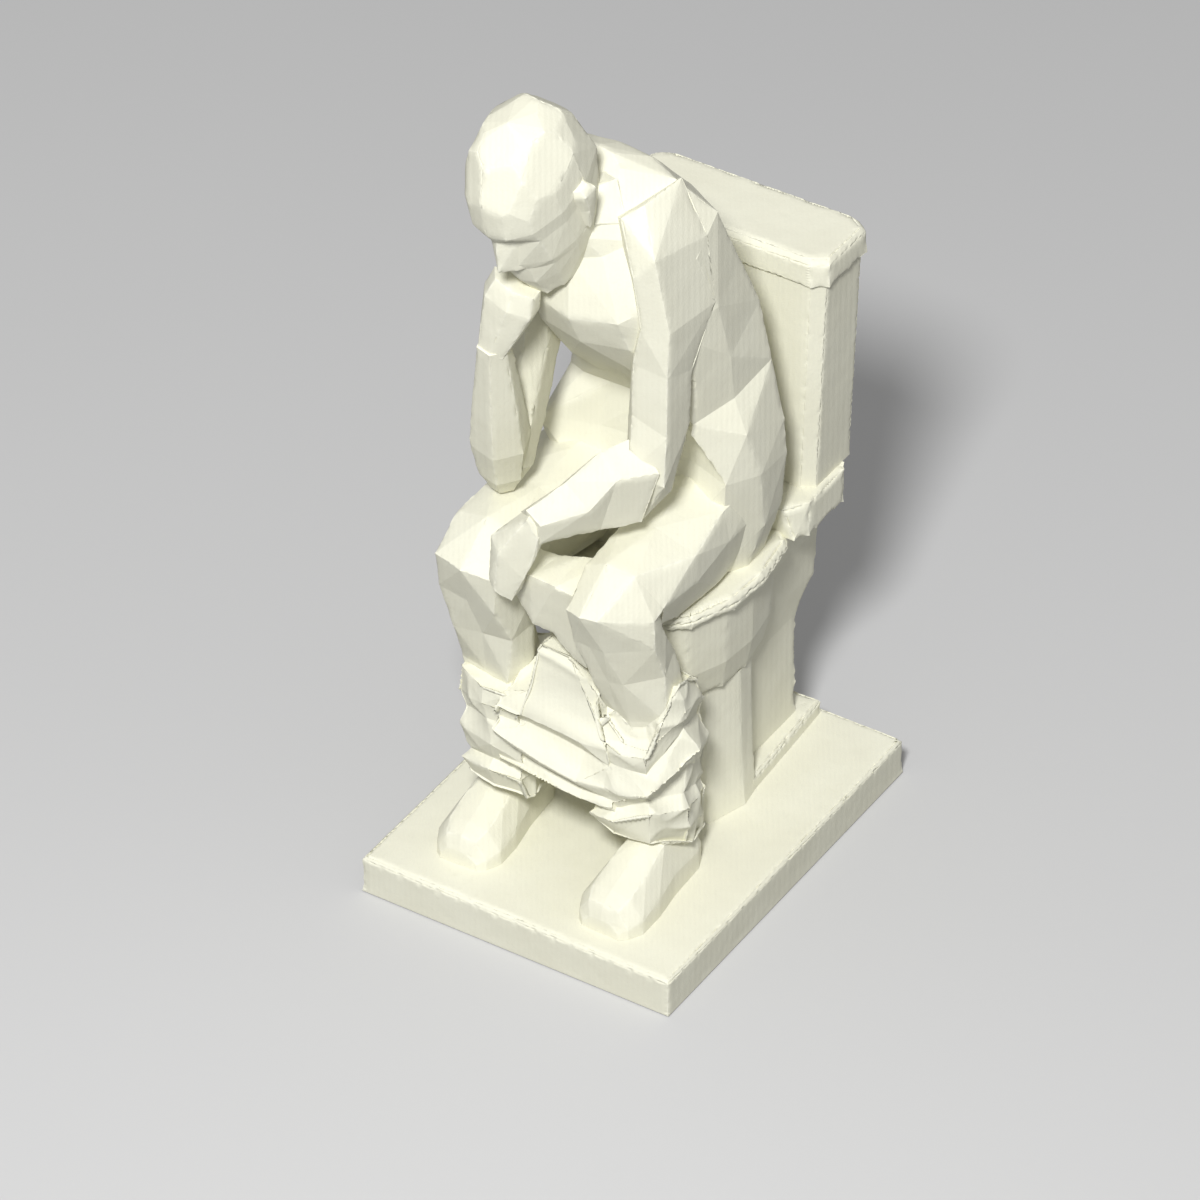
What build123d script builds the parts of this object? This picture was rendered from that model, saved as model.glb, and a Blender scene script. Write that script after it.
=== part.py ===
from build123d import *
import os
from math import cos, radians, sin

# Faceted statuette of a man sitting in thought on a toilet, on a rectangular plinth.
# Millimetres, +Z up, origin at the centre of the plinth's underside. The man faces -Y and his left is +X.
# Every piece is a separate faceted casting. Pieces meet face to face and are located by dowel pins.

# Plinth
BASE_WIDTH = 58.0
BASE_DEPTH = 72.0
BASE_THICKNESS = 7.0
BASE_CHAMFER = 0.5

# Toilet
COLUMN_HEIGHT = 27.0
COLUMN_HALF_WIDTH = 16.0
BOWL_HEIGHT = 18.0
BOWL_HALF_WIDTH = 17.5
SEAT_THICKNESS = 2.6
SEAT_OVERHANG = 1.5
STEP_HEIGHT = 2.6
STEP_HALF_WIDTH = 14.0
TRAP_HALF_WIDTH = 12.0
DECK_HALF_WIDTH = 19.0
DECK_THICKNESS = 6.6
DECK_RISE = 8.2
CISTERN_HEIGHT = 40.0
CISTERN_FOOT_HALF_WIDTH = 17.7
CISTERN_TOP_HALF_WIDTH = 19.2
CISTERN_FRONT = 24.5
CISTERN_DEPTH = 13.4
LID_THICKNESS = 5.0
LID_OVERHANG = 0.7

# Man: reach of each limb from the seat or the floor, and half widths of the limbs
HIP_HEIGHT = 9.5
HIP_HALF_SPAN = 9.5
KNEE_HEIGHT = 8.5
ANKLE_HEIGHT = 10.0
THIGH_HALF_WIDTH = 8.6
CALF_HALF_WIDTH = 6.6
TRUNK_HEIGHT = 78.0
SHOULDER_DROP = 10.0
HEAD_RISE = 2.8
FOREARM_HALF_WIDTH = 4.6
HEAD_HEIGHT = 32.5
HEAD_HALF_WIDTH = 8.3
HEAD_PITCH = 26.0
HEAD_TURN = 8.0
SHOE_LENGTH = 24.5
SHOE_HALF_WIDTH = 5.7
SHOE_HEIGHT = 10.5

# Dowel pins
PIN_RADIUS = 1.25
PIN_LENGTH = 8.0
ARM_PIN_RADIUS = 0.8
ARM_PIN_LENGTH = 5.0
PIN_CLEARANCE = 0.1

# Levels that follow from the sizes above
FLOOR = BASE_THICKNESS
BOWL_FOOT = FLOOR + COLUMN_HEIGHT
BOWL_RIM = BOWL_FOOT + BOWL_HEIGHT
SEAT_TOP = BOWL_RIM + SEAT_THICKNESS
DECK_TOP = BOWL_RIM + DECK_RISE
DECK_FOOT = DECK_TOP - DECK_THICKNESS
CISTERN_TOP = DECK_TOP + CISTERN_HEIGHT
CISTERN_BACK = CISTERN_FRONT + CISTERN_DEPTH


def signed_volume(triangles):
    """Six times the volume that the triangles enclose, positive when they face outwards."""
    return sum(a.dot(b.cross(c)) for a, b, c in triangles)


def shell_of(triangles):
    """A solid bounded by the triangles, whichever way they were wound."""
    if signed_volume(triangles) < 0:
        triangles = [(a, c, b) for a, b, c in triangles]
    faces = [Face(Wire.make_polygon(list(t), close=True)) for t in triangles]
    return Solid(Shell(faces))


def centre_of(ring):
    """Mean of a ring's corners."""
    total = Vector(0, 0, 0)
    for corner in ring:
        total += corner
    return total * (1 / len(ring))


def skin(rings, tip=None, root=None):
    """A faceted solid through rings of equally many corners, closed by a fan at each end.

    Each four-cornered patch is folded along the diagonal that stands further out.
    """
    count = len(rings[0])
    triangles = []
    for low, high in zip(rings, rings[1:]):
        axis = (centre_of(low) + centre_of(high)) * 0.5
        for i in range(count):
            j = (i + 1) % count
            rising = (low[i] + high[j]) * 0.5
            falling = (low[j] + high[i]) * 0.5
            if (rising - axis).length >= (falling - axis).length:
                triangles += [(low[i], low[j], high[j]), (low[i], high[j], high[i])]
            else:
                triangles += [(low[i], low[j], high[i]), (low[j], high[j], high[i])]
    first, last = rings[0], rings[-1]
    start = root or centre_of(first)
    end = tip or centre_of(last)
    for i in range(count):
        j = (i + 1) % count
        triangles.append((first[j], first[i], start))
        triangles.append((last[i], last[j], end))
    return shell_of([t for t in triangles if (t[1] - t[0]).cross(t[2] - t[0]).length > 1e-6])


def section(centre, axis, side, outline, size, depth=None, turn=0.0):
    """A ring square to axis: outline points are (side, up) in units of size, or of depth along up.

    The turn, in degrees, twists the ring about the axis, which folds the facets beside it.
    """
    axis = axis.normalized()
    side = (side - axis * side.dot(axis)).normalized()
    side = side.rotate(Axis(Vector(0, 0, 0), axis), turn)
    up = axis.cross(side)
    tall = depth or size
    return [centre + side * (s * size) + up * (u * tall) for s, u in outline]


def both_sides(half):
    """A closed outline from its half, which runs from front to back on the left."""
    return half + [(-s, u) for s, u in reversed(half) if abs(s) > 1e-9]


def level(outline, z, shift=(0.0, 0.0)):
    """A flat ring at height z from plan points."""
    return [Vector(x + shift[0], y + shift[1], z) for x, y in outline]


def between(a, b, t):
    """The point a share t of the way from a to b."""
    return a + (b - a) * t


def largest(shape):
    """The biggest solid of a cut shape."""
    return shape.solids().sort_by(SortBy.VOLUME)[-1]


def cut(piece, *others):
    """The piece with its neighbours taken out, as one solid."""
    for other in others:
        piece = largest(piece - other)
    return piece


def chop(piece, directions, depth):
    """The piece with a flat facet cut square to each direction, to the depth below its furthest corner."""
    reach = 2 * BASE_DEPTH
    block = Box(reach, reach, reach, align=(Align.CENTER, Align.CENTER, Align.MIN))
    for direction in directions:
        along = direction.normalized()
        furthest = max((Vector(*corner.center()) for corner in piece.vertices()), key=along.dot)
        piece = largest(piece - Plane(furthest - along * depth, z_dir=along) * block)
    return piece


def pin(centre, direction, length=PIN_LENGTH, radius=PIN_RADIUS):
    """A dowel pin centred on a seam."""
    along = Vector(direction).normalized()
    start = Plane(centre - along * (length / 2), z_dir=along)
    return Solid.make_cylinder(radius, length, start)


def pin_hole(centre, direction, length=PIN_LENGTH, radius=PIN_RADIUS):
    """The hole that a dowel pin slides into."""
    return pin(centre, direction, length + 2 * PIN_CLEARANCE, radius + PIN_CLEARANCE)


# Plinth and toilet


def make_base():
    slab = Box(BASE_WIDTH, BASE_DEPTH, BASE_THICKNESS, align=(Align.CENTER, Align.CENTER, Align.MIN))
    top_edges = slab.edges().filter_by_position(Axis.Z, BASE_THICKNESS, BASE_THICKNESS)
    return chamfer(top_edges, BASE_CHAMFER).solid()


COLUMN_PLAN = [
    (0.0, -0.35), (0.55, -0.22), (0.86, 0.06), (1.0, 0.5), (0.96, 0.78), (0.72, 0.98), (0.0, 1.02)
]
BOWL_PLAN = [
    (0.0, -0.82), (0.46, -0.68), (0.8, -0.36), (0.97, 0.06),
    (1.0, 0.48), (0.92, 0.98), (0.66, 1.2), (0.0, 1.22),
]


def make_column():
    outline = both_sides(COLUMN_PLAN)
    rings = []
    for z, grow in ((FLOOR, 1.0), (FLOOR + 0.3 * COLUMN_HEIGHT, 0.96), (BOWL_FOOT, 0.93)):
        rings.append(level([(x * grow * COLUMN_HALF_WIDTH, y * COLUMN_HALF_WIDTH) for x, y in outline], z))
    return skin(rings)


def bowl_ring(z, grow, forward=0.0):
    """The bowl's plan at one height."""
    reach = grow * BOWL_HALF_WIDTH
    return level([(x * reach, y * reach) for x, y in both_sides(BOWL_PLAN)], z, (0.0, forward))


def make_bowl():
    rings = [
        bowl_ring(BOWL_FOOT, 0.86, 2.2),
        bowl_ring(BOWL_FOOT + 0.36 * BOWL_HEIGHT, 0.95, 0.8),
        bowl_ring(BOWL_RIM - 0.14 * BOWL_HEIGHT, 0.98),
        bowl_ring(BOWL_RIM, 1.0),
    ]
    return skin(rings)


def make_seat():
    grow = 1 + SEAT_OVERHANG / BOWL_HALF_WIDTH
    rings = [
        bowl_ring(BOWL_RIM, grow * 0.975),
        bowl_ring(BOWL_RIM + 0.5 * SEAT_THICKNESS, grow),
        bowl_ring(SEAT_TOP, grow * 0.955),
    ]
    return skin(rings)


def make_step():
    """The low step under the trap, behind the column."""
    front, back = COLUMN_HALF_WIDTH * 0.72, BASE_DEPTH / 2 - 1.2
    half = STEP_HALF_WIDTH
    plan = [(half * 1.1, front), (half, back), (-half, back), (-half * 1.1, front)]
    slim = [(x * 0.97, y if y == front else y - 0.4) for x, y in plan]
    shoulder = FLOOR + 0.8 * STEP_HEIGHT
    return skin([level(plan, FLOOR), level(plan, shoulder), level(slim, FLOOR + STEP_HEIGHT)])


def make_trap():
    """The upright trap casing between the step and the deck, flared at the top."""
    foot = FLOOR + STEP_HEIGHT
    rise = DECK_FOOT - foot
    front = COLUMN_HALF_WIDTH * 0.8
    rows = ((0.0, 1.0, 7.9), (0.46, 1.0, 7.9), (0.6, 1.06, 3.3), (0.8, 1.1, 3.1), (1.0, 1.25, 5.9))
    rings = []
    for share, half, inset in rows:
        x = half * TRAP_HALF_WIDTH
        back = CISTERN_BACK - inset
        rings.append(level([(x, front), (x, back), (-x, back), (-x, front)], foot + share * rise))
    return skin(rings)


def make_deck():
    """The shelf that carries the cistern."""
    half, front, back = DECK_HALF_WIDTH, CISTERN_FRONT - 6.5, CISTERN_FRONT + 9.5
    lower = [(half * 0.93, front + 1.5), (half, front + 4), (half, back - 1.5), (half * 0.92, back)]
    upper = [(half * 0.86, front), (half, front + 4), (half, back - 1.5), (half * 0.95, back)]
    return skin([level(both_sides(lower), DECK_FOOT), level(both_sides(upper), DECK_TOP)])


def cistern_ring(z, half, front=CISTERN_FRONT, back=CISTERN_BACK, corner=0.12):
    """A cistern plan with its corners cut."""
    cut_x, cut_y = half * corner, (back - front) * corner
    side = [(half - cut_x, front), (half, front + cut_y), (half, back - cut_y), (half - cut_x, back)]
    return level(both_sides(side), z)


def make_cistern():
    foot = cistern_ring(DECK_TOP, CISTERN_FOOT_HALF_WIDTH)
    top = cistern_ring(CISTERN_TOP, CISTERN_TOP_HALF_WIDTH)
    return skin([foot, top])


def make_lid():
    front, back = CISTERN_FRONT - LID_OVERHANG, CISTERN_BACK + LID_OVERHANG
    half = CISTERN_TOP_HALF_WIDTH + LID_OVERHANG
    top = CISTERN_TOP + LID_THICKNESS
    return skin(
        [
            cistern_ring(CISTERN_TOP, half, front, back),
            cistern_ring(top - 0.2 * LID_THICKNESS, half, front, back),
            cistern_ring(top, half - 0.8, front + 0.8, back - 0.8),
        ]
    )


# The man's joints, left and right of him

OUTWARD = Vector(1, 0, 0)
SHOULDER_LEVEL = SEAT_TOP + TRUNK_HEIGHT - SHOULDER_DROP
HEAD_LEVEL = SEAT_TOP + TRUNK_HEIGHT + HEAD_RISE
LEFT_HIP = Vector(HIP_HALF_SPAN, 10.0, SEAT_TOP + HIP_HEIGHT)
RIGHT_HIP = Vector(-HIP_HALF_SPAN - 1.5, 10.0, SEAT_TOP + HIP_HEIGHT)
LEFT_KNEE = Vector(10.5, -21.0, SEAT_TOP + KNEE_HEIGHT)
RIGHT_KNEE = Vector(-14.0, -21.2, SEAT_TOP + KNEE_HEIGHT)
LEFT_ANKLE = Vector(13.0, -10.5, FLOOR + ANKLE_HEIGHT)
RIGHT_ANKLE = Vector(-14.8, -12.5, FLOOR + ANKLE_HEIGHT)

LEFT_SHOULDER = Vector(13.3, -9.2, SHOULDER_LEVEL)
LEFT_ELBOW = Vector(10.5, -11.0, SEAT_TOP + 26.5)
LEFT_WRIST = Vector(-1.8, -25.6, SEAT_TOP + 22.6)
RIGHT_SHOULDER = Vector(-17.0, -3.5, SHOULDER_LEVEL - 3.5)
RIGHT_ELBOW = Vector(-15.4, -14.0, SEAT_TOP + 22.0)
RIGHT_WRIST = Vector(-11.5, -21.7, HEAD_LEVEL - 28.8)
RIGHT_KNUCKLES = Vector(-8.3, -20.6, HEAD_LEVEL - 17.3)

HEAD_CENTRE = Vector(-5.8, -18.8, HEAD_LEVEL)

LEFT_THIGH_OUTLINE = [
    (-0.78, 0.86), (-0.1, 1.02), (0.8, 0.76), (0.86, 0.12), (0.5, -0.95), (-0.45, -0.95), (-0.95, -0.1)
]
LEFT_SHIN_OUTLINE = [
    (-0.84, 0.68), (-0.4, 0.94), (-0.02, 0.9), (0.84, 0.02), (0.7, -0.9), (-0.45, -0.95), (-0.95, -0.1)
]
RIGHT_THIGH_OUTLINE = [
    (-0.86, 0.84), (0.1, 0.98), (0.75, 0.7), (0.96, -0.2), (0.45, -0.95), (-0.6, -0.92), (-1.0, -0.1)
]
RIGHT_SHIN_OUTLINE = [
    (-0.84, 0.66), (-0.05, 0.98), (0.7, 0.78), (0.96, -0.2), (0.45, -0.95), (-0.6, -0.92), (-1.0, -0.1)
]
NECK_OUTLINE = [(0.65, 0.72), (1.02, -0.05), (0.55, -0.85), (-0.4, -0.95), (-0.95, -0.2), (-0.85, 0.42)]
HAND_OUTLINE = [(0.9, 0.5), (1.0, -0.3), (0.3, -0.7), (-0.6, -0.6), (-1.0, 0.1), (-0.3, 0.7)]
FOREARM_OUTLINE = [(0.75, 0.7), (1.0, -0.2), (0.3, -0.95), (-0.7, -0.75), (-1.0, 0.1), (-0.4, 0.9)]


def shallow(outline, limit):
    """The same outline with its back no deeper than the limit, for the inside of a bend."""
    return [(s, max(u, -limit)) for s, u in outline]


def flat_front(outline, limit):
    """The same outline with its front no further out than the limit."""
    return [(s, min(u, limit)) for s, u in outline]


def midway(first, second):
    """The outline half way between two others."""
    return [((a + c) / 2, (b + d) / 2) for (a, b), (c, d) in zip(first, second)]


def make_leg(hip, knee, ankle, thigh_outline, shin_outline):
    """Thigh, rounded knee and shin in one skin, from inside the hips to inside the shoe."""
    thigh, shin = (knee - hip).normalized(), (ankle - knee).normalized()
    above = shallow(midway(thigh_outline, shin_outline), 0.5)
    bend = shallow(shin_outline, 0.5)
    full, calf = THIGH_HALF_WIDTH, CALF_HALF_WIDTH
    rows = (
        (between(hip, knee, -0.1), thigh, thigh_outline, full, full * 1.05, 0),
        (between(hip, knee, 0.3), thigh, thigh_outline, full, full * 1.05, 4),
        (between(hip, knee, 0.62), thigh, thigh_outline, full * 0.96, full * 0.97, -5),
        (between(hip, knee, 0.9), thigh * 0.8 + shin * 0.2, above, calf * 1.16, calf * 1.3, 5),
        (knee, thigh * 0.6 + shin, bend, calf * 1.16, calf * 1.22, -3),
        (between(knee, ankle, 0.12), thigh * 0.2 + shin, flat_front(bend, 0.68), calf * 1.12, calf * 1.15, 6),
        (between(knee, ankle, 0.28), shin, flat_front(shin_outline, 0.54), calf * 1.02, calf, -8),
        (between(knee, ankle, 0.48), shin, flat_front(shin_outline, 0.46), calf * 0.94, calf * 1.02, 9),
        (between(knee, ankle, 0.8), shin, shin_outline, calf * 0.62, calf * 0.62, -4),
        (between(knee, ankle, 1.08), shin, shin_outline, calf * 0.55, calf * 0.55, 0),
    )
    rings = []
    for centre, axis, outline, wide, deep, turn in rows:
        rings.append(section(centre, axis, OUTWARD, outline, wide, deep, turn))
    return skin(rings)


# Trunk: each row is its height as a share of the trunk, the slope up towards the back, and the outline
# (x, y) from the front round the man's left side to the back and on round his right side

TRUNK_ROWS = (
    (0.0, 0.0, [
        (0, 2), (8, 2), (12.5, 4), (15.5, 9), (15, 15), (11, 20), (0, 22),
        (-11, 20), (-15, 15), (-15.5, 9), (-12.5, 4), (-8, 2),
    ]),
    (0.12, 0.0, [
        (0, 3), (8.5, 2), (14.5, 3), (18.6, 9), (17.6, 16), (12.5, 21), (0, 23),
        (-12.5, 21), (-17.6, 16), (-18.6, 9), (-14.5, 3), (-8.5, 2),
    ]),
    (0.26, -0.1, [
        (0, 5), (8.5, 3.5), (16.5, 0.6), (19.4, 6.5), (18.9, 15), (12.5, 21.5), (0, 23.4),
        (-12.5, 21.5), (-18.9, 15), (-19.4, 7), (-18, 0.4), (-8.5, 4),
    ]),
    (0.345, -0.3, [
        (0, 5.2), (7.5, 3), (12.2, -2.8), (18.2, 4), (18.6, 14.6), (12.5, 20.8), (0, 22.8),
        (-12.5, 20.8), (-18, 14.6), (-16, 6.8), (-12.5, 5), (-7.5, 5),
    ]),
    (0.485, 0.3, [
        (0, 1.5), (7, 0.5), (12.4, -2.4), (15.6, 4.5), (17, 13.4), (11, 18.6), (0, 21.2),
        (-11, 18.6), (-17, 13.4), (-15.8, 7.5), (-12.5, 2.5), (-7, 1),
    ]),
    (0.6, 0.4, [
        (0, -6), (7.5, -6), (13.6, -3.4), (16.2, 2.4), (15.2, 12.6), (9, 16.4), (0, 18),
        (-9, 16.4), (-15.2, 12.6), (-16.2, 2.4), (-13.6, -3.4), (-7.5, -6),
    ]),
    (0.72, 0.3, [
        (-0.5, -14.5), (7.5, -13), (13.5, -8), (15.7, -0.5), (14.2, 8.6), (8, 11.8), (-0.5, 13),
        (-9, 11.8), (-15.2, 8.6), (-16.7, -0.5), (-14.5, -8), (-8.5, -13),
    ]),
    (0.84, 0.7, [
        (-1, -17), (7, -15.5), (11.5, -11.5), (14, -4), (13.6, 2.6), (7.5, 4.8), (-1, 5.5),
        (-9.5, 4.8), (-15.6, 2.6), (-16, -4), (-13.5, -11.5), (-9, -15.5),
    ]),
    (0.945, 0.85, [
        (-2, -15), (3, -13.5), (7, -10.5), (9.8, -7), (9, -2), (4, -0.4), (-2, 0),
        (-8, -0.4), (-13, -2), (-13.8, -7), (-11, -10.5), (-7, -13.5),
    ]),
    (0.985, 1.0, [
        (-3, -15.5), (0.5, -15), (2.8, -12), (3.5, -9.5), (2, -6.6), (-0.4, -5.3), (-3, -5),
        (-5.6, -5.3), (-8, -6.6), (-9.5, -9.5), (-8.8, -12), (-6.5, -15),
    ]),
)


def trunk_rings():
    """Rings from the seat up the bent back to the neck."""
    rings = []
    for share, slope, outline in TRUNK_ROWS:
        y_centre = (outline[0][1] + outline[len(outline) // 2][1]) / 2
        z = SEAT_TOP + share * TRUNK_HEIGHT
        rings.append([Vector(x, y, z + slope * (y - y_centre)) for x, y in outline])
    return rings


def make_trunk():
    return skin(trunk_rings())


# Arms: each row is a share of the way from joint to joint and corners set off from that place,
# (outward, back, up) from the front inner corner round the outside

UPPER_ARM_ROWS = (
    (-0.24, [
        (-8.5, -3.5, -2), (-6, -0.5, -0.3), (-4.4, 7.5, 0.6),
        (-8, 9.8, -2.6), (-12, 6, -4.6), (-12, 0, -4.6),
    ]),
    (0.0, [
        (-4.4, -5, -0.8), (-0.9, -4.2, 3.2), (0.6, 8.4, 1.2),
        (-3.3, 11.5, -1.6), (-7.3, 5.2, -4.6), (-7.3, -1, -4.6),
    ]),
    (0.25, [
        (-2.7, -4, 0), (2, -3, 0.4), (2.9, 8.6, -0.2),
        (-1.6, 10.6, -1.2), (-5.6, 5.6, -1.2), (-5.6, -0.4, -1.2),
    ]),
    (0.5, [
        (-3.8, -3, 3), (2.4, -2.7, 2.2), (2.4, 4.5, -0.2),
        (-1.9, 7, -0.9), (-5.4, 5, -0.9), (-5.9, 0, 0),
    ]),
    (0.72, [
        (-3.3, -2.8, 2.6), (3, -2.5, 0.3), (2.8, 4.7, -0.9),
        (-1.3, 6.5, -1.2), (-4.8, 4.5, -1.2), (-5.3, -0.5, 0.3),
    ]),
    (1.0, [(-2, -4, 4.5), (3.6, -2.5, 2.8), (1.9, 2.4, -1.8), (-1, 4.5, -1), (-4, 3, 0), (-4.5, -1, 2)]),
)
ELBOW_TIP = (-1.0, -1.2, -6.0)

LEFT_FOREARM_ROWS = (
    (0.0, [(-2.6, -1.6, 9.4), (3.2, -3, 5.6), (0, -3.2, -4.9), (-3.2, 1, -4.6), (-5, 0.6, 3.9)]),
    (0.4, [(-0.9, -0.2, 10), (3.4, -2.2, 7), (0.2, -2.1, -4), (-3.6, 1.8, -4), (-4.6, 1.3, 3.5)]),
    (0.7, [(-0.6, -0.6, 6.8), (4.4, -1.3, 3.6), (0.8, -1.4, -2.9), (-2.9, 1.7, -2.9), (-3.9, 1.2, 2.6)]),
    (1.04, [(-0.6, -0.3, 4), (2.4, -0.8, 2.4), (1.1, -0.4, -2.3), (-1.7, 2.1, -2.2), (-2.7, 1.6, 1.8)]),
)
RIGHT_FOREARM_ROWS = ((-0.14, 0.5), (0.0, 0.86), (0.24, 1.06), (0.5, 0.94), (1.0, 0.58))

# Hands: the left one hangs over the knee, corners set off from its wrist

LEFT_HAND_ROWS = (
    [(-0.6, 0.2, 3.2), (1.6, 0, 1.2), (1.0, 0.2, -3), (-1.2, 2.6, -2.8), (-2.7, 2.2, 1.8)],
    [(-0.4, -1.9, 2.8), (1.4, -1.4, -0.9), (0.9, -1.2, -4.8), (-1.2, 2.6, -3.7), (-2.7, 1.6, 1.8)],
    [(-7.3, -1.6, -3), (-4.7, -3.6, -4.2), (-0.7, -2.2, -8.7), (-1.7, 1.6, -8.2), (-6.2, 1.6, -5.2)],
    [(-7.1, -2.7, -11), (-5.5, -3.4, -12.2), (-2.9, -2.4, -13.8), (-2.7, 0.1, -12.7), (-6.2, 0.1, -10.2)],
)
RIGHT_HAND_ROWS = ((-0.1, 2.6, 2.6), (0.3, 3.8, 3.6), (0.75, 5.0, 4.4), (1.05, 4.2, 3.4))


def limb(start, end, rows, sign=1, tip=None):
    """A limb between two joints through rows of corners. The sign is -1 on the man's right."""
    rings = []
    for t, corners in rows:
        centre = between(start, end, t)
        rings.append([centre + Vector(sign * x, y, z) for x, y, z in corners])
    return skin(rings, tip=tip)


def make_upper_arm(shoulder, elbow, sign, rows):
    """Upper arm with its shoulder cap, down to the elbow."""
    x, y, z = ELBOW_TIP
    return limb(shoulder, elbow, rows, sign, elbow + Vector(sign * x, y, z))


def make_right_forearm():
    axis = RIGHT_WRIST - RIGHT_ELBOW
    rings = []
    for t, k in RIGHT_FOREARM_ROWS:
        centre = between(RIGHT_ELBOW, RIGHT_WRIST, t)
        rings.append(section(centre, axis, OUTWARD, FOREARM_OUTLINE, FOREARM_HALF_WIDTH * k))
    return skin(rings)


def make_left_hand():
    return skin([[LEFT_WRIST + Vector(x, y, z) for x, y, z in row] for row in LEFT_HAND_ROWS])


def make_right_hand():
    """The right hand, bent under the chin."""
    axis = RIGHT_KNUCKLES - RIGHT_WRIST
    rings = []
    for t, wide, deep in RIGHT_HAND_ROWS:
        centre = between(RIGHT_WRIST, RIGHT_KNUCKLES, t)
        rings.append(section(centre, axis, OUTWARD, HAND_OUTLINE, wide, deep))
    return skin(rings)


# Head: rows from the chin to the top, each the half outline (side, front) at a share of the head's height

HEAD_ROWS = (
    (0.0, [(0, 0.98), (0.3, 0.94), (0.5, 0.66), (0.54, 0.26), (0.5, -0.1), (0.33, -0.36), (0, -0.46)]),
    (0.15, [
        (0, 1.16), (0.35, 1.07), (0.64, 0.72), (0.76, 0.2),
        (0.72, -0.28), (0.45, -0.64), (0, -0.74),
    ]),
    (0.26, [
        (0, 1.17), (0.35, 1.06), (0.71, 0.75), (0.87, 0.2),
        (0.85, -0.32), (0.53, -0.85), (0, -1.0),
    ]),
    (0.31, [
        (0, 1.48), (0.25, 1.16), (0.76, 0.79), (0.91, 0.2),
        (0.89, -0.36), (0.58, -0.95), (0, -1.15),
    ]),
    (0.48, [
        (0, 1.23), (0.36, 0.97), (0.76, 0.81), (0.95, 0.26),
        (0.96, -0.42), (0.67, -1.1), (0, -1.36),
    ]),
    (0.57, [(0, 1.31), (0.4, 1.23), (0.78, 0.9), (1.0, 0.26), (1.0, -0.46), (0.71, -1.2), (0, -1.44)]),
    (0.78, [(0, 1.12), (0.42, 1.02), (0.8, 0.72), (0.98, 0.14), (0.96, -0.54), (0.62, -1.18), (0, -1.38)]),
    (0.94, [(0, 0.6), (0.36, 0.52), (0.6, 0.34), (0.7, -0.04), (0.66, -0.52), (0.4, -0.92), (0, -1.05)]),
)


def head_point(side, front, up):
    """A point of the head from its own side, front and up, in millimetres from the head's centre."""
    pitch, turn = radians(HEAD_PITCH), radians(HEAD_TURN)
    ahead = front * cos(pitch) + up * sin(pitch)
    x = side * cos(turn) - ahead * sin(turn)
    y = -side * sin(turn) - ahead * cos(turn)
    z = up * cos(pitch) - front * sin(pitch)
    return HEAD_CENTRE + Vector(x, y, z)


SKULL_FACETS = (
    (0.1, 0.4, 0.9), (0.62, 0.3, 0.72), (-0.5, 0.35, 0.8), (0.45, -0.45, 0.77), (-0.6, -0.3, 0.74),
    (0.9, 0.1, 0.42), (-0.88, 0.15, 0.45), (0.72, -0.66, 0.22), (-0.7, -0.7, 0.14), (0.0, -0.9, 0.44),
    (0.3, 0.72, 0.62), (-0.35, 0.75, 0.56), (0.74, 0.58, 0.34), (-0.72, 0.6, 0.34),
)
FACET_DEPTH = 0.9


def make_skull():
    """The head with its facets and ears, without the neck."""
    width = HEAD_HALF_WIDTH
    rings = []
    for share, half in HEAD_ROWS:
        up = (share - 0.5) * HEAD_HEIGHT
        rings.append([head_point(s * width, f * width, up) for s, f in both_sides(half)])
    skull = skin(rings, tip=head_point(0.0, -0.2 * width, 0.5 * HEAD_HEIGHT))
    skull = chop(skull, [head_point(*facet) - HEAD_CENTRE for facet in SKULL_FACETS], FACET_DEPTH)
    for sign in (1, -1):
        skull = largest(skull + make_ear(sign))
    return skull


def make_ear(sign):
    """A folded ear between the brow and the foot of the nose."""
    width = HEAD_HALF_WIDTH
    rows = (
        (-0.2, [(0.8, -0.05), (0.98, -0.12), (0.96, -0.3), (0.8, -0.3)]),
        (-0.06, [(0.86, -0.05), (1.12, -0.2), (1.1, -0.42), (0.86, -0.42)]),
        (0.06, [(0.88, -0.02), (1.2, -0.2), (1.2, -0.52), (0.88, -0.5)]),
        (0.1, [(0.9, -0.08), (1.1, -0.22), (1.1, -0.44), (0.9, -0.44)]),
    )
    rings = []
    for up, half in rows:
        rings.append([head_point(sign * s * width, f * width, up * HEAD_HEIGHT) for s, f in half])
    return skin(rings)


def make_neck():
    start = head_point(0.0, -0.3 * HEAD_HALF_WIDTH, -0.25 * HEAD_HEIGHT)
    end = centre_of(trunk_rings()[-2])
    axis = start - end
    rows = ((0.0, 1.0), (0.5, 0.8), (1.0, 0.72))
    rings = []
    for t, k in rows:
        rings.append(section(between(end, start, t), axis, OUTWARD, NECK_OUTLINE, HEAD_HALF_WIDTH * k))
    return skin(rings)


# Shoes

SHOE_OUTLINE = [(-1.0, 0.0), (-1.0, 0.4), (-0.62, 0.92), (0.0, 1.0), (0.58, 0.9), (1.0, 0.4), (1.0, 0.0)]


def make_shoe(heel, toe):
    axis = (toe - heel).normalized()
    rows = (
        (0.0, 0.56, 0.7), (0.1, 0.76, 0.86), (0.42, 0.86, 1.0),
        (0.66, 1.02, 0.8), (0.86, 1.04, 0.62), (0.96, 0.82, 0.5), (1.0, 0.6, 0.26),
    )
    rings = []
    for t, wide, tall in rows:
        centre = heel + axis * (t * SHOE_LENGTH)
        half, height = wide * SHOE_HALF_WIDTH, tall * SHOE_HEIGHT
        rings.append(section(centre, axis, OUTWARD, SHOE_OUTLINE, half, height))
    return skin(rings)


# Trousers: stacked rings of crumpled cloth. Each corner is (x, y, height above the floor)


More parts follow.
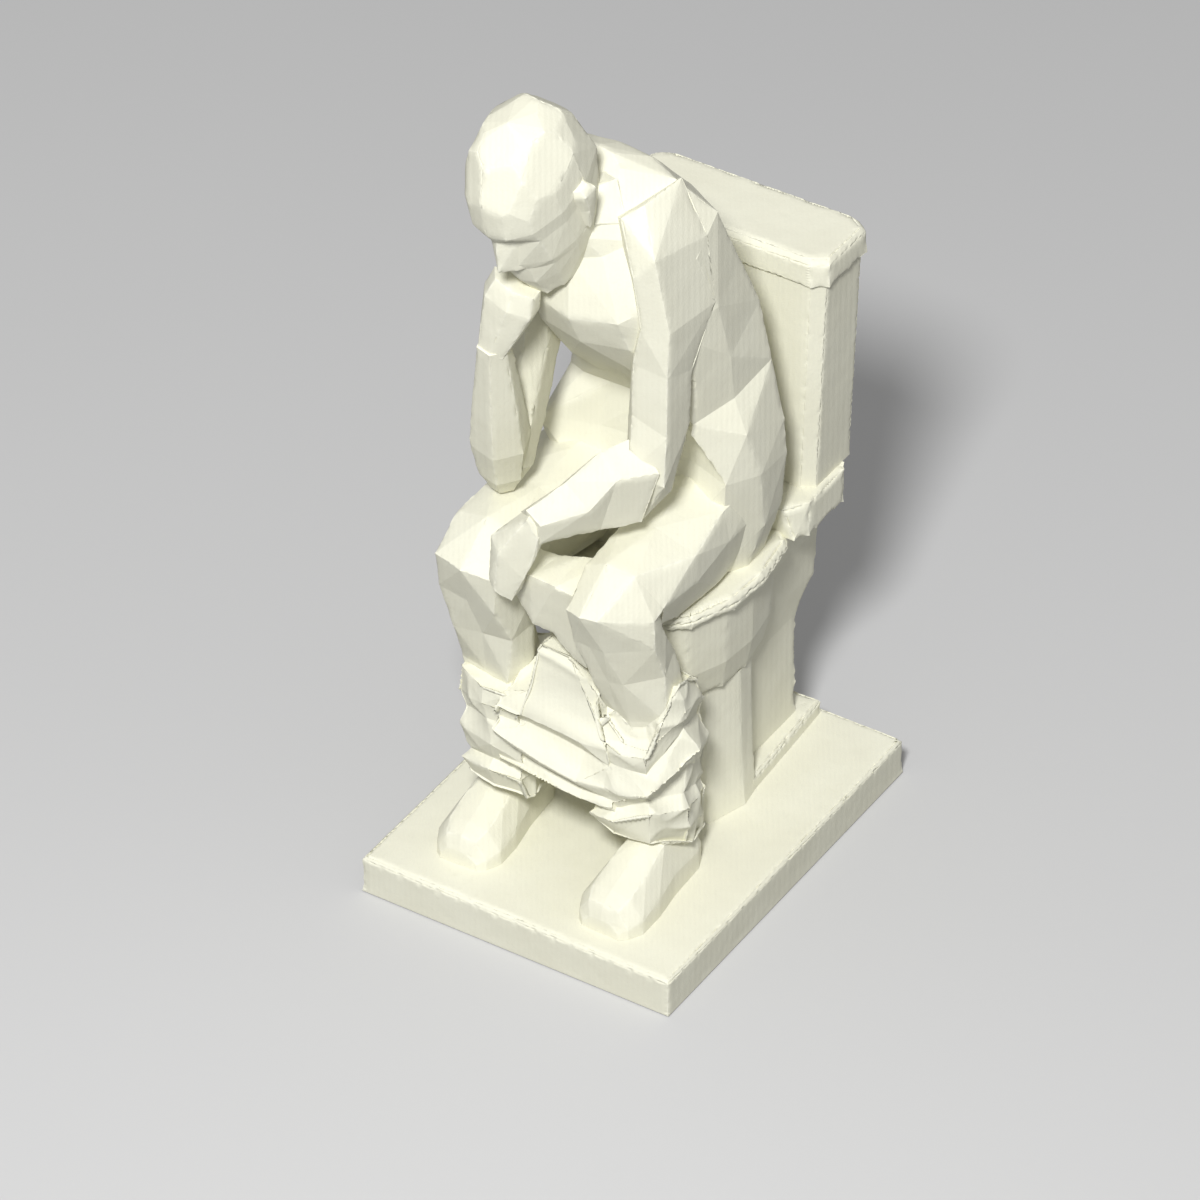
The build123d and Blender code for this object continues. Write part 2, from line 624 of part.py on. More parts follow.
def cloth(rows):
    """A crumpled piece of cloth through rows of corners."""
    return skin([[Vector(x, y, FLOOR + z) for x, y, z in row] for row in rows])


RIGHT_TROUSER_ROWS = (
    [
        (-6.5, -21, 10.8), (-12.5, -22.5, 11.8), (-18, -21.5, 12), (-20.3, -14.5, 9),
        (-18, -6.5, 7.5), (-11, -5.5, 8), (-6.5, -13, 10),
    ],
    [
        (-6.8, -22.8, 15.5), (-12.5, -24, 16.8), (-18.9, -22, 15.5), (-21.3, -14.5, 13),
        (-18.6, -6, 11.5), (-11, -5, 12), (-6.4, -13, 14.5),
    ],
    [
        (-7.4, -21.4, 16.5), (-12.5, -22.4, 18), (-18.2, -20.8, 16.8), (-20.3, -14.5, 14.5),
        (-18, -6.8, 13), (-11, -5.8, 13.5), (-7, -13, 16),
    ],
    [
        (-6.4, -23, 19.5), (-12, -24.4, 22), (-19.2, -22, 22), (-21.2, -14.5, 20),
        (-18.6, -6, 19), (-11, -5, 20), (-6.4, -13, 21),
    ],
    [
        (-7, -22.8, 26), (-13, -23.2, 26.5), (-19.2, -20.9, 24.8), (-20.4, -14, 24),
        (-18, -6.8, 24), (-11, -5.8, 25), (-7, -13, 26),
    ],
    [
        (-7, -23.4, 29), (-13.8, -24, 29.5), (-20.7, -20.6, 27.5), (-21.2, -14, 27),
        (-18.4, -6.4, 28), (-11, -5.4, 29), (-6.6, -13, 30),
    ],
    [
        (-8.4, -23.1, 32.8), (-14.1, -23.1, 32.5), (-19.5, -20.6, 32.8), (-20.4, -14, 31),
        (-18, -7, 32), (-11, -6, 33), (-7, -13, 34),
    ],
)

LEFT_TROUSER_ROWS = (
    [
        (4.6, -20.6, 12.4), (9, -21, 10.3), (15.4, -19.8, 10.7), (18.9, -13.5, 7.2),
        (16.5, -5, 5), (9, -4, 6), (4.5, -11, 10),
    ],
    [
        (5, -22, 14.4), (10.4, -23, 15.2), (16.2, -21.4, 17.8), (20, -14.5, 16.4),
        (17, -4.6, 13), (9, -3.6, 12), (4, -11, 14),
    ],
    [
        (5.8, -20.6, 15.8), (10.6, -20.8, 16.8), (15, -19.4, 19.2), (18.2, -13.8, 18.4),
        (16.4, -5.4, 15), (9, -4.6, 14), (4.6, -11, 15.5),
    ],
    [
        (6.4, -21.6, 18.6), (11, -22, 18.6), (15.4, -20.4, 20.4), (18.5, -12.8, 23.4),
        (16.6, -5.2, 19), (9, -4.4, 18), (4.5, -11, 18.5),
    ],
    [
        (6.8, -22.4, 21.8), (11.2, -23, 21), (16.6, -22.4, 22.2), (20.6, -13, 27.4),
        (17.2, -4.8, 24), (9, -4.2, 23), (4.5, -11, 22.5),
    ],
    [
        (7, -21.4, 25.8), (11.2, -21.2, 25.4), (15.2, -20.4, 25.2), (18, -13.4, 31.2),
        (16.8, -6, 29), (9, -5, 28), (5, -11, 28),
    ],
    [
        (7, -21.6, 30), (11.2, -22, 28.6), (15.8, -21.6, 28.8), (19.2, -14.6, 35.6),
        (17.6, -7, 34), (9, -5, 33), (5, -11, 33),
    ],
    [
        (7.2, -20.6, 34), (11, -21, 30.2), (15, -20.8, 30.4), (18, -15.2, 41.4),
        (16.8, -8, 38), (9, -6, 36), (5, -11, 36),
    ],
)

TROUSER_FRONT_ROWS = (
    [
        (-11, -21.5, 17), (-11, -23.4, 19.5), (-11, -22.2, 21.5), (-11, -25, 26.4), (-11, -22.8, 28.6),
        (-10.8, -24.4, 30.8), (-10.5, -22.5, 33), (-10, -9, 30), (-10, -9, 16),
    ],
    [
        (-6.2, -21.8, 17.8), (-6, -23.6, 19.2), (-6, -22.2, 20.8), (-6, -25.4, 24.8), (-6, -22.8, 28),
        (-6, -24.6, 30.8), (-5.8, -22.2, 35), (-6, -9, 40), (-6, -9, 17),
    ],
    [
        (-1.8, -21.6, 17.2), (-1.6, -23.8, 18.8), (-1.5, -22.4, 20.2), (-1.5, -25, 23.2), (-1.5, -22.2, 27),
        (-1.5, -24, 30), (-3.8, -21.8, 44.6), (-2, -9, 45), (-2, -9, 18),
    ],
    [
        (4, -21.2, 15.5), (4, -23, 17.4), (4, -21.8, 18.6), (4, -24, 21.2), (4, -21.4, 25.4),
        (4, -23, 28.8), (1.2, -20.8, 43.4), (3, -9, 44), (3, -9, 18),
    ],
    [
        (10, -20.8, 15.2), (9.8, -22.2, 17), (9.6, -21.6, 18.4), (9.4, -22.6, 20.6), (9, -21.6, 25),
        (8.8, -22, 28.2), (6, -20, 37), (8, -9, 34), (8, -9, 14),
    ],
)

UNDERPANTS_ROWS = (
    [(-7.5, -23.5, 54.5), (-6, -24.6, 60.8), (-6, -18, 60), (-7.5, -18, 51)],
    [(-3.7, -23.8, 49.6), (-3, -25.5, 60.7), (-2.5, -17, 59.5), (-3.5, -16, 47)],
    [(-1.1, -22.3, 47.8), (1, -24.6, 59.6), (1, -16, 60), (-1, -15, 47)],
    [(2.6, -21.1, 42.8), (4.2, -24, 58.5), (4.5, -15, 60), (3.5, -14, 42)],
    [(4.9, -21.7, 43), (6, -23, 56), (6.5, -15, 60), (5.5, -14, 42)],
)


def make_trousers():
    trousers = cloth(TROUSER_FRONT_ROWS)
    for rows in (LEFT_TROUSER_ROWS, RIGHT_TROUSER_ROWS):
        trousers = largest(trousers + cloth(rows))
    return trousers


# Assembly: each piece gives way to the ones that it is set against


def halves(piece, centre, direction):
    """The two parts of a piece on either side of a flat seam: the part behind the direction comes first."""
    reach = 2 * BASE_DEPTH
    block = Box(reach, reach, reach, align=(Align.CENTER, Align.CENTER, Align.MIN))
    ahead = Plane(centre, z_dir=direction) * block
    return largest(piece - ahead), largest(piece & ahead)


def build_toilet():
    toilet = {"base_plate": make_base(), "pedestal_column": make_column(), "cistern": make_cistern()}
    toilet["pedestal_step"] = cut(make_step(), toilet["pedestal_column"])
    toilet["trap_casing"] = cut(make_trap(), toilet["pedestal_column"])
    toilet["deck"] = make_deck()
    toilet["bowl"] = cut(make_bowl(), toilet["trap_casing"], toilet["deck"])
    toilet["seat"] = cut(make_seat(), toilet["deck"], toilet["trap_casing"])
    toilet["cistern_lid"] = make_lid()
    return toilet


KNEE_SEAM = 0.06


LEGS = {"left": (LEFT_HIP, LEFT_KNEE, LEFT_ANKLE), "right": (RIGHT_HIP, RIGHT_KNEE, RIGHT_ANKLE)}


def waist_seam():
    """Centre and direction of the seam along the fold above the hips."""
    share, slope, outline = TRUNK_ROWS[3]
    y_centre = (outline[0][1] + outline[len(outline) // 2][1]) / 2
    return Vector(0, y_centre, SEAT_TOP + share * TRUNK_HEIGHT), Vector(0, -slope, 1)


def knee_seam(side):
    """Centre and direction of the seam across a knee."""
    hip, knee, ankle = LEGS[side]
    return between(knee, ankle, KNEE_SEAM), (knee - hip).normalized() + (ankle - knee).normalized()


def build_man(toilet):
    man = {}
    trunk = make_trunk()
    toilet["deck"] = cut(toilet["deck"], trunk)
    toilet["seat"] = cut(toilet["seat"], trunk)
    man["pelvis"], man["chest"] = halves(trunk, *waist_seam())

    legs = {
        "left": make_leg(LEFT_HIP, LEFT_KNEE, LEFT_ANKLE, LEFT_THIGH_OUTLINE, LEFT_SHIN_OUTLINE),
        "right": make_leg(RIGHT_HIP, RIGHT_KNEE, RIGHT_ANKLE, RIGHT_THIGH_OUTLINE, RIGHT_SHIN_OUTLINE),
    }
    shoes = {
        "left": make_shoe(Vector(13.9, -7.0, FLOOR), Vector(13.4, -32.0, FLOOR)),
        "right": make_shoe(Vector(-15.4, -4.8, FLOOR), Vector(-14.8, -30.0, FLOOR)),
    }
    for side, leg in legs.items():
        leg = cut(leg, trunk, toilet["seat"], toilet["bowl"])
        seam, along = knee_seam(side)
        man[side + "_thigh"], man[side + "_shin"] = halves(leg, seam, along)
        man[side + "_shoe"] = cut(shoes[side], leg)
    thighs = (man["left_thigh"], man["right_thigh"])
    shins = (man["left_shin"], man["right_shin"])

    man["left_upper_arm"] = cut(
        make_upper_arm(LEFT_SHOULDER, LEFT_ELBOW, 1, UPPER_ARM_ROWS), trunk, *thighs
    )
    left_forearm = limb(LEFT_ELBOW, LEFT_WRIST, LEFT_FOREARM_ROWS)
    man["left_forearm"] = cut(left_forearm, man["left_upper_arm"], trunk, *thighs)
    man["left_hand"] = cut(make_left_hand(), man["left_forearm"], *thighs, *shins)

    man["right_forearm"] = cut(make_right_forearm(), trunk, *thighs)
    right_upper_arm = make_upper_arm(RIGHT_SHOULDER, RIGHT_ELBOW, -1, UPPER_ARM_ROWS[1:])
    man["right_upper_arm"] = cut(right_upper_arm, trunk, man["right_forearm"], *thighs)
    head = largest(make_skull() + make_neck())
    man["head"] = cut(head, trunk, man["left_upper_arm"], man["right_upper_arm"])
    beside = (man["right_forearm"], man["right_upper_arm"], man["head"], trunk)
    man["right_hand"] = cut(make_right_hand(), *beside)

    set_against = (*shins, man["left_shoe"], man["right_shoe"], *thighs)
    set_against += (toilet["pedestal_column"], toilet["bowl"], toilet["seat"])
    man["trousers"] = cut(make_trousers(), *set_against)
    man["underpants"] = cut(cloth(UNDERPANTS_ROWS), *set_against, man["trousers"], man["left_hand"])
    return man


# Dowel pins: each row is the seam's centre and the pin's direction


def toilet_pin_places():
    down = (0, 0, 1)
    places = []
    for sign in (1, -1):
        places.append((Vector(sign * 7.0, 4.0, FLOOR), down))
        places.append((Vector(sign * 6.0, 22.0, FLOOR), down))
        places.append((Vector(sign * 6.0, 7.0, BOWL_FOOT), down))
        places.append((Vector(sign * 6.0, 26.0, DECK_FOOT), down))
        places.append((Vector(sign * 10.0, 29.0, DECK_TOP), down))
        places.append((Vector(sign * 10.0, 31.0, CISTERN_TOP), down))
    return places


def body_pin_places():
    waist, across = waist_seam()
    neck = centre_of(trunk_rings()[-1])
    places = [(neck, (-0.3, -0.9, 0.3))]
    for sign in (1, -1):
        places.append((Vector(sign * 7.0, 11.0, (BOWL_RIM + SEAT_TOP) / 2), (0, 0, 1)))
        places.append((waist + Vector(sign * 7.0, 0, 0), across))
    places.append((Vector(LEFT_HIP.X, 2.2, LEFT_HIP.Z), (0, 1, 0)))
    places.append((Vector(RIGHT_HIP.X, 2.4, RIGHT_HIP.Z), (0, 1, 0)))
    for side, (hip, knee, ankle) in LEGS.items():
        along_shin = (knee - hip).normalized() * 0.2 + (ankle - knee).normalized()
        places.append((knee_seam(side)[0], along_shin))
    places.append((Vector(13.2, -17.0, FLOOR), (0, 0, 1)))
    places.append((Vector(-15.2, -16.0, FLOOR), (0, 0, 1)))
    return places


def arm_pin_places():
    left, right = (LEFT_WRIST - LEFT_ELBOW).normalized(), RIGHT_WRIST - RIGHT_ELBOW
    return [
        (LEFT_SHOULDER + Vector(-1.9, 0.1, -14.4), (0.64, -0.77, 0)),
        (RIGHT_SHOULDER + Vector(1.8, -0.1, -14.1), (0.95, 0.3, 0)),
        (LEFT_ELBOW + left * 2.8, left),
        (LEFT_WRIST + Vector(-0.9, 0.5, 0.1), (-0.6, -0.4, -0.55)),
        (RIGHT_ELBOW + Vector(0.4, 1.8, 11.4), (0, 1, 0)),
        (RIGHT_WRIST, right),
    ]


def drill(pieces, places, length, radius):
    """Pin holes in every piece that a pin reaches into."""
    for centre, direction in places:
        hole = pin_hole(centre, direction, length, radius)
        box = hole.bounding_box()
        for name, piece in pieces.items():
            if piece.bounding_box().overlaps(box):
                pieces[name] = largest(piece - hole)


def build():
    toilet = build_toilet()
    pieces = build_man(toilet)
    pieces.update(toilet)
    groups = {
        "toilet_pins": (toilet_pin_places(), PIN_LENGTH, PIN_RADIUS),
        "body_pins": (body_pin_places(), PIN_LENGTH, PIN_RADIUS),
        "arm_pins": (arm_pin_places(), ARM_PIN_LENGTH, ARM_PIN_RADIUS),
    }
    for places, length, radius in groups.values():
        drill(pieces, places, length, radius)
    for name, (places, length, radius) in groups.items():
        pieces[name] = Compound(children=[pin(centre, along, length, radius) for centre, along in places])
    return pieces


os.makedirs("parts", exist_ok=True)
for name, piece in build().items():
    export_step(piece, f"parts/{name}.step")
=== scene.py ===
from math import cos, pi, radians, sin

import bmesh
import bpy
from mathutils import Matrix, Vector
from mathutils.bvhtree import BVHTree


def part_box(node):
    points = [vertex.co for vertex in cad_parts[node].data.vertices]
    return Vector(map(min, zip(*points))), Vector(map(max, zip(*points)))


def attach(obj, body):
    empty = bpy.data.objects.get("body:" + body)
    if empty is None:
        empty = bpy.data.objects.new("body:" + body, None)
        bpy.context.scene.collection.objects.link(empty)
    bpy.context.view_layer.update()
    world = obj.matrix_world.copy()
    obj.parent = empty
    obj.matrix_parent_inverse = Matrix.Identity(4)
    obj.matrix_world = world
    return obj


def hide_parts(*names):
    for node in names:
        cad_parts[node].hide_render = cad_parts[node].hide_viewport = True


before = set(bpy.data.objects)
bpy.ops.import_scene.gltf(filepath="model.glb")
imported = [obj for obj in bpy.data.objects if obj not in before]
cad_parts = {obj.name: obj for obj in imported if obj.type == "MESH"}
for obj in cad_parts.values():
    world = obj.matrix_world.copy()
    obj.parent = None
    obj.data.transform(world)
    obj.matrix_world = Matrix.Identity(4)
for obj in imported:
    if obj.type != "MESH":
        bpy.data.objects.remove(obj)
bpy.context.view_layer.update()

CASTINGS = [
    "base_plate", "pedestal_column", "pedestal_step", "trap_casing", "bowl", "seat", "deck",
    "cistern", "cistern_lid", "pelvis", "chest", "head", "left_upper_arm", "right_upper_arm",
    "left_forearm", "right_forearm", "left_hand", "right_hand", "left_thigh", "right_thigh",
    "left_shin", "right_shin", "left_shoe", "right_shoe", "trousers", "underpants",
]
PINS = ["toilet_pins", "body_pins", "arm_pins"]
CLOTH = ["trousers"]

# Camera of the main view
VIEW_AZIMUTH = radians(32.74)
VIEW_HEIGHT = radians(37.93)
VIEW_ROLL = radians(-0.36)
VIEW_DISTANCE = 1.2704
VIEW_TARGET = Vector((-0.00645, 0.0, 0.04464))
VIEW_LENS = 240
SENSOR_WIDTH = 36
VIEW_REACH = 20

# Light and floor
KEY_PLACE = (0.277, -0.623, 0.791)
KEY_AIM = (0.0, 0.0, 0.06)
KEY_SIZE = 0.16
KEY_WATTS = 10.1
SKY_STRENGTH = 0.36
FLOOR_SIZE = 6.0
FLOOR_DROP = 0.0002

# Mesh of the castings: longest edge on plain faces and along worn edges, in metres
WELD = 0.000002
FLAT_TURN = radians(0.4)
MESH_STEP = 0.0011
FINE_STEP = 0.00055
REFINE_ROUNDS = 14

# Contact: an edge this near a neighbour, a pin or the ground is joined and keeps its place
TOUCH = 0.00003
PIN_TOUCH = 0.00016
FOOT = 0.0004
EASE_RINGS = 4

# Edges: up to FACET_TURN they are smooth, from WORN_TURN they wear and get a painted highlight, and at
# CORNER_TURN fully
FACET_TURN = radians(3)
WORN_TURN = radians(16)
CORNER_TURN = radians(50)
LEAST_WEAR = 0.15
WEAR_SPREAD = 0.45

# Depth and grain size of chips and waves, in metres, with the pieces that are more or less chipped
CHIP_DEPTH = 0.00036
CHIP_SIZE = 0.0021
CHIP_DETAIL = 3
WAVE_DEPTH = 0.00006
WAVE_SIZE = 0.0032
WAVE_DETAIL = 1
DENT_CONTRAST = 1.6
RAGGED = {
    "seat": 0.0012, "deck": 0.0011, "cistern_lid": 0.0005, "base_plate": 0.0005,
    "pedestal_step": 0.0008, "trap_casing": 0.0007, "bowl": 0.0007, "cistern": 0.0005,
    "trousers": 0.0002,
}

# Long folds in the cast cloth
FOLD_DEPTH = 0.0011
FOLD_SLOPE = radians(17.5)
FOLD_SIZE = (0.026, 0.0074, 0.0074)

# Comb lines left in the surface: a band texture of scale 1 repeats every 2 pi / 20
COMB_PITCH = 0.00086
COMB_SCALE = 2 * pi / (20 * COMB_PITCH)
COMB_SHARE = 0.3

# Colours
IVORY_LIGHT = (0.81, 0.80, 0.665)
IVORY_DEEP = (0.775, 0.762, 0.625)
IVORY_SPECK = (0.74, 0.725, 0.585)
# Lighter ivory of the rubbed edges: partly wear, partly a painted highlight where the edges would
# catch the light
IVORY_RUBBED_HIGHLIGHT = (0.86, 0.85, 0.735)
WOOD_LIGHT = (0.50, 0.32, 0.15)
WOOD_DARK = (0.36, 0.21, 0.09)
FLOOR_LIGHT = (0.60, 0.60, 0.60)
FLOOR_DEEP = (0.56, 0.56, 0.56)
FLOOR_BOUNCE = (0.22, 0.22, 0.22)


def pick_up(piece):
    """Selects one piece alone and makes it the active one."""
    bpy.ops.object.select_all(action="DESELECT")
    piece.select_set(True)
    bpy.context.view_layer.objects.active = piece


def surface_of(node):
    """A search tree over the faces of one solid."""
    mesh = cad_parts[node].data
    corners = [vertex.co.copy() for vertex in mesh.vertices]
    faces = [tuple(polygon.vertices) for polygon in mesh.polygons]
    return BVHTree.FromPolygons(corners, faces)


surfaces = {node: surface_of(node) for node in CASTINGS + PINS}
boxes = {node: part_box(node) for node in CASTINGS + PINS}


def near_box(point, node, margin):
    low, high = boxes[node]
    return all(low[i] - margin <= point[i] <= high[i] + margin for i in range(3))


def touches_neighbour(point, own):
    """Whether a point of one casting lies on another piece."""
    for node, surface in surfaces.items():
        if node == own:
            continue
        reach = PIN_TOUCH if node in PINS else TOUCH
        if near_box(point, node, reach) and surface.find_nearest(point, reach)[0] is not None:
            return True
    return False


def copy_casting(node):
    """A copy of a solid with its flat facets merged and cut into even triangles."""
    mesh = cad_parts[node].data.copy()
    mesh.materials.clear()
    piece = bpy.data.objects.new(node + "_cast", mesh)
    bpy.context.scene.collection.objects.link(piece)
    pick_up(piece)
    bpy.ops.mesh.customdata_custom_splitnormals_clear()
    bpy.ops.object.mode_set(mode="EDIT")
    bpy.ops.mesh.select_mode(type="EDGE")
    bpy.ops.mesh.select_all(action="SELECT")
    bpy.ops.mesh.remove_doubles(threshold=WELD)
    bpy.ops.mesh.dissolve_limited(angle_limit=FLAT_TURN)
    bpy.ops.mesh.quads_convert_to_tris(quad_method="BEAUTY", ngon_method="BEAUTY")
    bpy.ops.object.mode_set(mode="OBJECT")
    return piece


def mark_edges(piece, node):
    """Notes on every edge whether it is joined to a neighbour and how sharp it stands out."""
    bpy.ops.object.mode_set(mode="EDIT")
    body = bmesh.from_edit_mesh(piece.data)
    joined = body.edges.layers.int.new("joined")
    sharpness = body.edges.layers.float.new("sharpness")
    for edge in body.edges:
        middle = (edge.verts[0].co + edge.verts[1].co) / 2
        turn = edge.calc_face_angle(0.0)
        buried = middle.z < TOUCH or touches_neighbour(middle, node)
        edge[joined] = int(buried)
        edge[sharpness] = 0.0
        edge.smooth = turn < FACET_TURN
        if edge.is_convex and not buried and turn > WORN_TURN:
            share = (turn - WORN_TURN) / (CORNER_TURN - WORN_TURN)
            edge[sharpness] = min(1.0, LEAST_WEAR + share)
    bmesh.update_edit_mesh(piece.data)
    bpy.ops.object.mode_set(mode="OBJECT")


def refine(piece, step):
    """Halves long edges until none is longer than the step, or than FINE_STEP beside a worn edge."""
    bpy.ops.object.mode_set(mode="EDIT")
    for turn in range(REFINE_ROUNDS):
        body = bmesh.from_edit_mesh(piece.data)
        sharpness = body.edges.layers.float["sharpness"]
        worn_and_highlit = {corner for edge in body.edges if edge[sharpness] > 0.0 for corner in edge.verts}
        bpy.ops.mesh.select_all(action="DESELECT")
        long_edges = []
        for edge in body.edges:
            near_wear = edge.verts[0] in worn_and_highlit or edge.verts[1] in worn_and_highlit
            if edge.calc_length() > (FINE_STEP if near_wear else step):
                long_edges.append(edge)
        if not long_edges:
            break
        for edge in long_edges:
            edge.select = True
        bpy.ops.mesh.subdivide(number_cuts=1, ngon=False)
        bpy.ops.mesh.select_all(action="SELECT")
        bpy.ops.mesh.quads_convert_to_tris(quad_method="BEAUTY", ngon_method="BEAUTY")
    bpy.ops.object.mode_set(mode="OBJECT")


def noise_texture(name, size, depth):
    texture = bpy.data.textures.new(name, "CLOUDS")
    texture.noise_scale = size
    texture.noise_depth = depth
    texture.contrast = DENT_CONTRAST
    texture.use_clamp = True
    return texture


chips = noise_texture("chips", CHIP_SIZE, CHIP_DETAIL)
waves = noise_texture("waves", WAVE_SIZE, WAVE_DETAIL)
folds = bpy.data.textures.new("folds", "MUSGRAVE")
folds.musgrave_type = "RIDGED_MULTIFRACTAL"
folds.noise_scale = 1.0
folds.octaves = 1.0

# Guide that lays the folds across the cloth, taken away once they are pressed
bpy.ops.object.empty_add(rotation=(0.0, FOLD_SLOPE, 0.0))
fold_guide = bpy.context.active_object
fold_guide.scale = FOLD_SIZE


def press_in(piece, group, texture, depth, guide=None):
    """Presses a texture into the piece, always inwards, as deep as the group's weights allow."""
    dent = piece.modifiers.new("dent", "DISPLACE")
    dent.texture = texture
    dent.texture_coords = "OBJECT" if guide else "LOCAL"
    dent.texture_coords_object = guide
    dent.vertex_group = group
    dent.mid_level = 1.0
    dent.strength = depth
    bpy.ops.object.modifier_apply(modifier=dent.name)


def wear_edges(piece, node):
    """Folds the cloth, chips the sharp edges and waves the faces, fading out towards every contact."""
    mesh = piece.data
    joined = mesh.attributes["joined"]
    sharpness = mesh.attributes["sharpness"]
    wear_and_highlight = [0.0] * len(mesh.vertices)
    held = {vertex.index for vertex in mesh.vertices if vertex.co.z < FOOT}
    for edge in mesh.edges:
        if joined.data[edge.index].value:
            held.update(edge.vertices)
        for corner in edge.vertices:
            wear_and_highlight[corner] = max(wear_and_highlight[corner], sharpness.data[edge.index].value)
    spread = list(wear_and_highlight)
    for edge in mesh.edges:
        first, second = edge.vertices
        spread[first] = max(spread[first], WEAR_SPREAD * wear_and_highlight[second])
        spread[second] = max(spread[second], WEAR_SPREAD * wear_and_highlight[first])
    ease = [0.0 if corner in held else 1.0 for corner in range(len(wear_and_highlight))]
    for ring in range(EASE_RINGS):
        for edge in mesh.edges:
            first, second = edge.vertices
            ease[first] = min(ease[first], ease[second] + 1 / EASE_RINGS)
            ease[second] = min(ease[second], ease[first] + 1 / EASE_RINGS)
    rubbed = piece.vertex_groups.new(name="rubbed")
    loose = piece.vertex_groups.new(name="loose")
    for corner in range(len(wear_and_highlight)):
        if corner in held:
            wear_and_highlight[corner] = 0.0
        else:
            loose.add([corner], ease[corner], "REPLACE")
            if spread[corner] > 0.0:
                rubbed.add([corner], spread[corner] * ease[corner], "REPLACE")
    # These edge weights also mask the lighter edge colour of the ivory finish: wear and a painted
    # highlight
    mesh.attributes.new("worn_and_highlit", "FLOAT", "POINT").data.foreach_set("value", wear_and_highlight)
    if node in CLOTH:
        press_in(piece, "loose", folds, FOLD_DEPTH, fold_guide)
    press_in(piece, "rubbed", chips, RAGGED.get(node, CHIP_DEPTH))
    press_in(piece, "loose", waves, WAVE_DEPTH)
    piece.vertex_groups.clear()
    mesh.attributes.remove(mesh.attributes["joined"])
    mesh.attributes.remove(mesh.attributes["sharpness"])
    bpy.ops.object.mode_set(mode="EDIT")
    bpy.ops.mesh.select_all(action="SELECT")
    bpy.ops.mesh.faces_shade_smooth()
    bpy.ops.object.mode_set(mode="OBJECT")


def node_of(tree, kind, **settings):
    node = tree.nodes.new(kind)
    for name, value in settings.items():
        setattr(node, name, value)
    return node


def noise_of(tree, coords, size, detail, rough):
    """Noise with grains of a size in metres."""
    noise = node_of(tree, "ShaderNodeTexNoise")
    noise.inputs["Scale"].default_value = 1 / size
    noise.inputs["Detail"].default_value = detail
    noise.inputs["Roughness"].default_value = rough
    tree.links.new(coords, noise.inputs["Vector"])
    return noise.outputs["Fac"]


def span(tree, value, low, high, to_low, to_high):
    """The value with low to high stretched to to_low to to_high."""
    node = node_of(tree, "ShaderNodeMapRange")
    limits = {"From Min": low, "From Max": high, "To Min": to_low, "To Max": to_high}
    for name, number in limits.items():
        node.inputs[name].default_value = number
    tree.links.new(value, node.inputs["Value"])
    return node.outputs["Result"]


def blend_colour(tree, share, first, second):
    """The first colour giving way to the second as the share rises."""
    node = node_of(tree, "ShaderNodeMix", data_type="RGBA")
    for socket, colour in ((node.inputs[6], first), (node.inputs[7], second)):
        if isinstance(colour, tuple):
            socket.default_value = (*colour, 1.0)
        else:
            tree.links.new(colour, socket)
    tree.links.new(share, node.inputs[0])
    return node.outputs[2]


def maths(tree, work, first, second):
    node = node_of(tree, "ShaderNodeMath", operation=work)
    for socket, value in zip(node.inputs, (first, second)):
        if isinstance(value, (int, float)):
            socket.default_value = value
        else:
            tree.links.new(value, socket)
    return node.outputs["Value"]


def roughen(tree, shader, height, strength, depth):
    """Bumps the shader's surface by a height pattern."""
    bump = node_of(tree, "ShaderNodeBump")
    bump.inputs["Strength"].default_value = strength
    bump.inputs["Distance"].default_value = depth
    tree.links.new(height, bump.inputs["Height"])
    tree.links.new(bump.outputs["Normal"], shader.inputs["Normal"])


def new_finish(name):
    finish = bpy.data.materials.new(name)
    finish.use_nodes = True
    tree = finish.node_tree
    shader = tree.nodes["Principled BSDF"]
    coords = node_of(tree, "ShaderNodeTexCoord").outputs["Object"]
    return finish, tree, shader, coords


def comb_lines(tree, coords):
    """Fine upright lines across the casting, square to the main view."""
    turn = node_of(tree, "ShaderNodeMapping")
    turn.inputs["Rotation"].default_value = (0.0, 0.0, -VIEW_AZIMUTH)
    tree.links.new(coords, turn.inputs["Vector"])
    comb = node_of(tree, "ShaderNodeTexWave", wave_type="BANDS", bands_direction="X")
    comb.inputs["Scale"].default_value = COMB_SCALE
    comb.inputs["Distortion"].default_value = 0.7
    comb.inputs["Detail"].default_value = 2
    comb.inputs["Detail Scale"].default_value = 0.6
    tree.links.new(turn.outputs["Vector"], comb.inputs["Vector"])
    return comb.outputs["Fac"]


def ivory_finish():
    """Matt ivory with pale rubbed edges, lightened partly as wear and partly as a painted highlight,
    faint specks, grain and comb lines.
    """
    finish, tree, shader, coords = new_finish("ivory_casting")
    clouds = noise_of(tree, coords, 0.016, 3, 0.55)
    speckle = noise_of(tree, coords, 0.0011, 4, 0.65)
    grain = noise_of(tree, coords, 0.00042, 3, 0.6)
    worn_and_highlit = node_of(tree, "ShaderNodeAttribute", attribute_name="worn_and_highlit").outputs["Fac"]
    tone = blend_colour(tree, span(tree, clouds, 0.35, 0.65, 0.0, 1.0), IVORY_LIGHT, IVORY_DEEP)
    tone = blend_colour(tree, span(tree, speckle, 0.55, 0.8, 0.0, 0.5), tone, IVORY_SPECK)
    # Worn edges are lightened towards the rubbed colour: partly wear, partly a painted highlight
    rub_and_highlight = maths(tree, "MULTIPLY", worn_and_highlit, span(tree, speckle, 0.42, 0.58, 0.0, 0.7))
    tone = blend_colour(tree, rub_and_highlight, tone, IVORY_RUBBED_HIGHLIGHT)
    tree.links.new(tone, shader.inputs["Base Color"])
    tree.links.new(span(tree, speckle, 0.3, 0.7, 0.52, 0.70), shader.inputs["Roughness"])
    comb = maths(tree, "MULTIPLY", comb_lines(tree, coords), COMB_SHARE)
    roughen(tree, shader, maths(tree, "ADD", comb, grain), 0.35, 0.00012)
    shader.inputs["Specular IOR Level"].default_value = 0.35
    return finish


